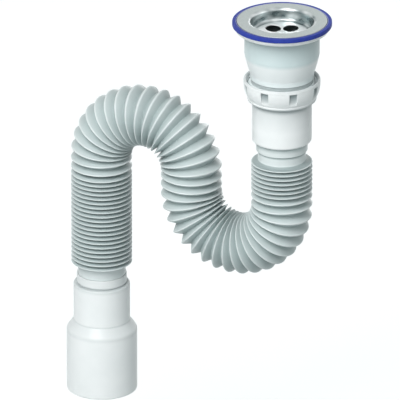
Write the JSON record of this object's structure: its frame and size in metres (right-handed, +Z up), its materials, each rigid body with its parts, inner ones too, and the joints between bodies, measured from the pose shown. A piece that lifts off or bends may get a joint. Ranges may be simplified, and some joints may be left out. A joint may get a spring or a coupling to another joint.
{
  "type": "flexible sink trap",
  "caption": "Sink waste with a steel strainer, blue flange seal and union nut, on a ribbed bellows hose bent into an S that ends in a stepped 40/50 mm spigot.",
  "frame": {"origin": "centre of the sink's drain hole, in the plane where the flange seal bears on the sink", "axes": "+Z up along the waste's axis, out of the sink; the S of the hose lies in the XZ plane and runs towards -X"},
  "size_m": [0.2, 0.07, 0.305],
  "materials": {
    "strainer_steel": "satin rim, polished cup",
    "plated_screw": "bright plated",
    "brass_insert": "as machined",
    "blue_seal": "smooth, slight sheen",
    "black_seal": "matt",
    "white_plastic": "moulded, semi-gloss",
    "grey_hose": "blown, satin"
  },
  "bodies": {
    "waste": {"strainer_cup": "strainer_steel", "flange_seal": "blue_seal", "outlet_body": "white_plastic", "threaded_insert": "brass_insert", "clamp_screw": "plated_screw"},
    "seal_ring": {"union_seal": "black_seal"},
    "nut": {"union_nut": "white_plastic"},
    "tail": {"hose_cuff": "white_plastic", "hose": "grey_hose"},
    "outlet": {"outlet_spigot": "white_plastic"}
  },
  "joints": [
    {"name": "nut_travel", "type": "slide", "parent": "waste", "child": "seal_ring", "axis": [0, 0, -1], "range_m": [0, 0.0075]},
    {"name": "nut_turn", "type": "hinge", "parent": "seal_ring", "child": "nut", "pos_m": [0, 0, -0.048], "axis": [0, 0, -1], "range_deg": [0, 900.5]},
    {"name": "cuff_swivel", "type": "hinge", "parent": "seal_ring", "child": "tail", "pos_m": [0, 0, -0.054], "axis": [0, 0, 1], "continuous": true},
    {"name": "hose_stretch", "type": "slide", "parent": "tail", "child": "outlet", "axis": [0, 0, -1], "range_m": [0, 0.06], "deforming": ["hose"]}
  ],
  "couplings": [
    {"joint": "nut_turn", "follows": "nut_travel", "rad_per_m": 2094.4}
  ]
}
